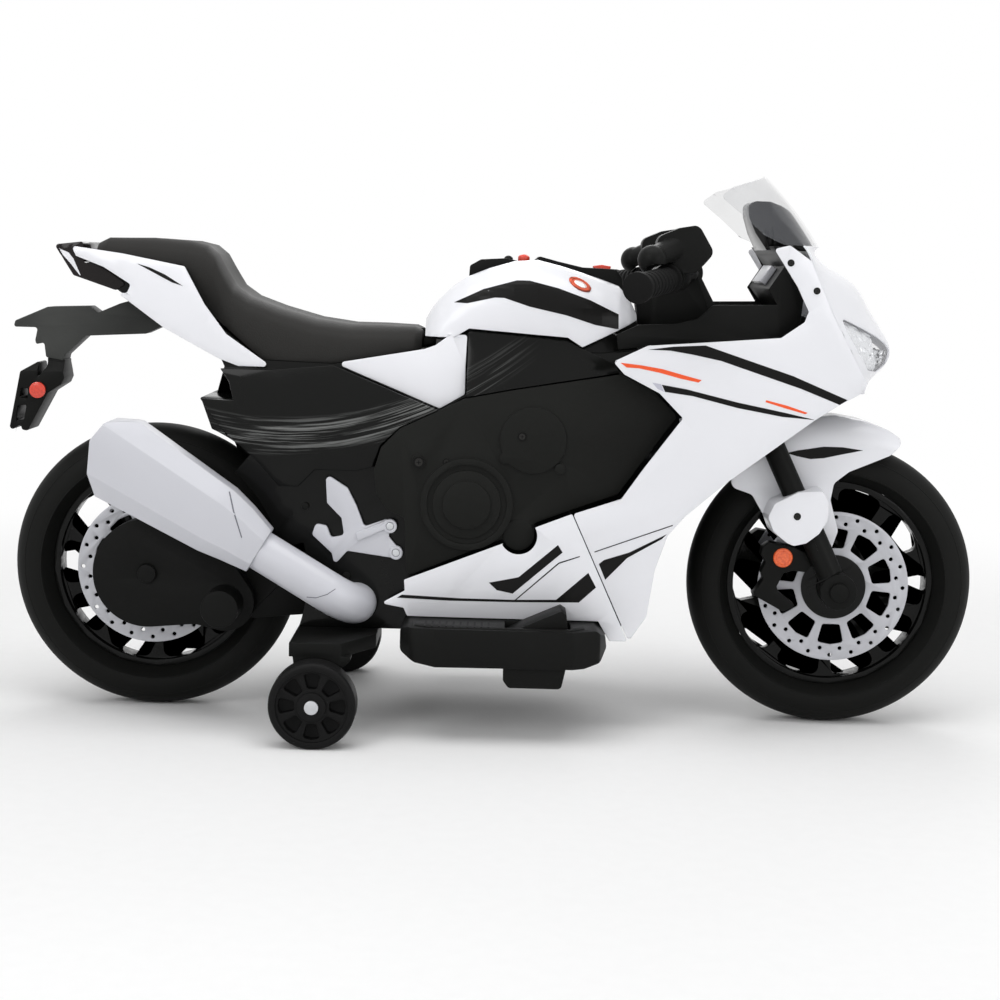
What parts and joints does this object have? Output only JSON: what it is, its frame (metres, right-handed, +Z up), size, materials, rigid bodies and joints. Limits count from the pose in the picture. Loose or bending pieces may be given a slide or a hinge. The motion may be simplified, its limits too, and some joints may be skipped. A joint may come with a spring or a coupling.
{
  "type": "kids electric motorbike",
  "caption": "Child's battery ride-on motorbike in sports-bike style, with fairings, moulded seat, turning fork and bars, geared rear wheel, stabilisers and a foot pedal.",
  "frame": {"origin": "on the ground, on the centre plane, midway along the bike", "axes": "+X forward, +Y to the rider's left, +Z up"},
  "size_m": [1.0827, 0.4504, 0.611],
  "materials": {
    "white_gloss": "glossy moulded plastic",
    "black_gloss": "glossy moulded plastic",
    "black_satin": "satin moulded plastic",
    "engine_charcoal": "matte moulded plastic",
    "seat_grey": "matte moulded plastic",
    "silver_grey": "satin silver-grey plastic",
    "tyre_black": "matte blow-moulded plastic",
    "stabiliser_plastic": "satin moulded plastic",
    "grip_rubber": "matte ribbed",
    "disc_grey": "satin grey plastic",
    "clear_plastic": "clear moulded plastic",
    "lamp_chrome": "bright plated",
    "smoked_lens": "smoked glossy",
    "red_plastic": "glossy",
    "steel": "zinc plated",
    "gear_plastic": "plain moulded",
    "battery_case": "plain moulded"
  },
  "bodies": {
    "chassis": {"battery": "battery_case", "belly_fairings": "white_gloss", "body_screws": "steel", "body_shell_left": "black_gloss", "body_shell_right": "black_gloss", "charge_socket": "black_satin", "cockpit_panel": "black_satin", "control_console": "black_satin", "control_unit": "battery_case", "drive_motor": "steel", "engine_covers": "engine_charcoal", "exhaust_pipe": "silver_grey", "exhaust_silencer": "silver_grey", "footboards": "black_satin", "gearbox_cover": "black_satin", "gearbox_housing": "black_satin", "headlight_lenses": "clear_plastic", "headlight_reflectors": "lamp_chrome", "instrument_hood": "black_gloss", "nose_cowl": "white_gloss", "pedal_switch": "battery_case", "plate_holder": "black_satin", "rear_axle": "steel", "rear_fender_bracket": "black_satin", "rear_reflectors": "red_plastic", "rearset_plates": "silver_grey", "seat": "seat_grey", "side_fairings": "white_gloss", "speedometer": "silver_grey", "stabiliser_bolts": "steel", "stabiliser_brackets": "black_satin", "steering_head_bush": "gear_plastic", "swingarm_left": "black_satin", "tail_cowls": "white_gloss", "tail_light": "smoked_lens", "tank_cover": "white_gloss", "windscreen": "clear_plastic"},
    "steering": {"steering_stem": "black_satin", "handlebar": "black_satin", "handle_grips": "grip_rubber", "lever_pods": "black_satin", "fork_legs": "black_satin", "front_fender": "white_gloss", "brake_calipers": "black_satin", "front_axle": "steel"},
    "front_wheel": {"front_tyre": "tyre_black", "front_rim": "black_gloss", "front_brake_discs": "disc_grey"},
    "rear_wheel": {"rear_tyre": "tyre_black", "rear_rim": "black_gloss", "rear_brake_discs": "disc_grey", "output_gear": "gear_plastic"},
    "idler": {"idler_gear": "gear_plastic"},
    "pinion": {"motor_pinion": "gear_plastic"},
    "stabiliser_right": {"stabiliser_wheel_right": "stabiliser_plastic"},
    "stabiliser_left": {"stabiliser_wheel_left": "stabiliser_plastic"},
    "pedal": {"accelerator_pedal": "black_satin"},
    "start": {"start_button": "red_plastic"},
    "sound": {"sound_button": "black_satin"},
    "direction": {"direction_rocker": "red_plastic"}
  },
  "joints": [
    {"name": "steer", "type": "hinge", "parent": "chassis", "child": "steering", "pos_m": [0.38, 0, 0.16], "axis": [-0.4384, 0, 0.8988], "range_deg": [-20, 20]},
    {"name": "front_wheel_spin", "type": "hinge", "parent": "steering", "child": "front_wheel", "pos_m": [0.38, 0, 0.16], "axis": [0, 1, 0], "continuous": true},
    {"name": "rear_wheel_spin", "type": "hinge", "parent": "chassis", "child": "rear_wheel", "pos_m": [-0.38, 0, 0.16], "axis": [0, 1, 0], "continuous": true},
    {"name": "idler_spin", "type": "hinge", "parent": "chassis", "child": "idler", "pos_m": [-0.32388, -0.06, 0.15003], "axis": [0, 1, 0], "continuous": true},
    {"name": "pinion_spin", "type": "hinge", "parent": "chassis", "child": "pinion", "pos_m": [-0.29422, -0.065, 0.12962], "axis": [0, 1, 0], "continuous": true},
    {"name": "stabiliser_right_spin", "type": "hinge", "parent": "chassis", "child": "stabiliser_right", "pos_m": [-0.184, -0.186, 0.046], "axis": [0, 1, 0], "continuous": true},
    {"name": "stabiliser_left_spin", "type": "hinge", "parent": "chassis", "child": "stabiliser_left", "pos_m": [-0.184, 0.186, 0.046], "axis": [0, 1, 0], "continuous": true},
    {"name": "pedal_press", "type": "hinge", "parent": "chassis", "child": "pedal", "pos_m": [0.02, -0.126, 0.112], "axis": [0, 1, 0], "range_deg": [0, 10], "stiffness_Nm_per_rad": 2, "springref_deg": -5.73},
    {"name": "start_press", "type": "slide", "parent": "chassis", "child": "start", "axis": [0, 0, -1], "range_m": [0, 0.0015], "stiffness_N_per_m": 400, "springref_m": -0.001},
    {"name": "sound_press", "type": "slide", "parent": "chassis", "child": "sound", "axis": [0, 0, -1], "range_m": [0, 0.0015], "stiffness_N_per_m": 400, "springref_m": -0.001},
    {"name": "direction_rock", "type": "hinge", "parent": "chassis", "child": "direction", "pos_m": [0.112, 0, 0.503], "axis": [0, 1, 0], "range_deg": [-7, 7]}
  ],
  "couplings": [
    {"joint": "idler_spin", "follows": "rear_wheel_spin", "ratio": -4.4286},
    {"joint": "pinion_spin", "follows": "rear_wheel_spin", "ratio": 22.143}
  ]
}
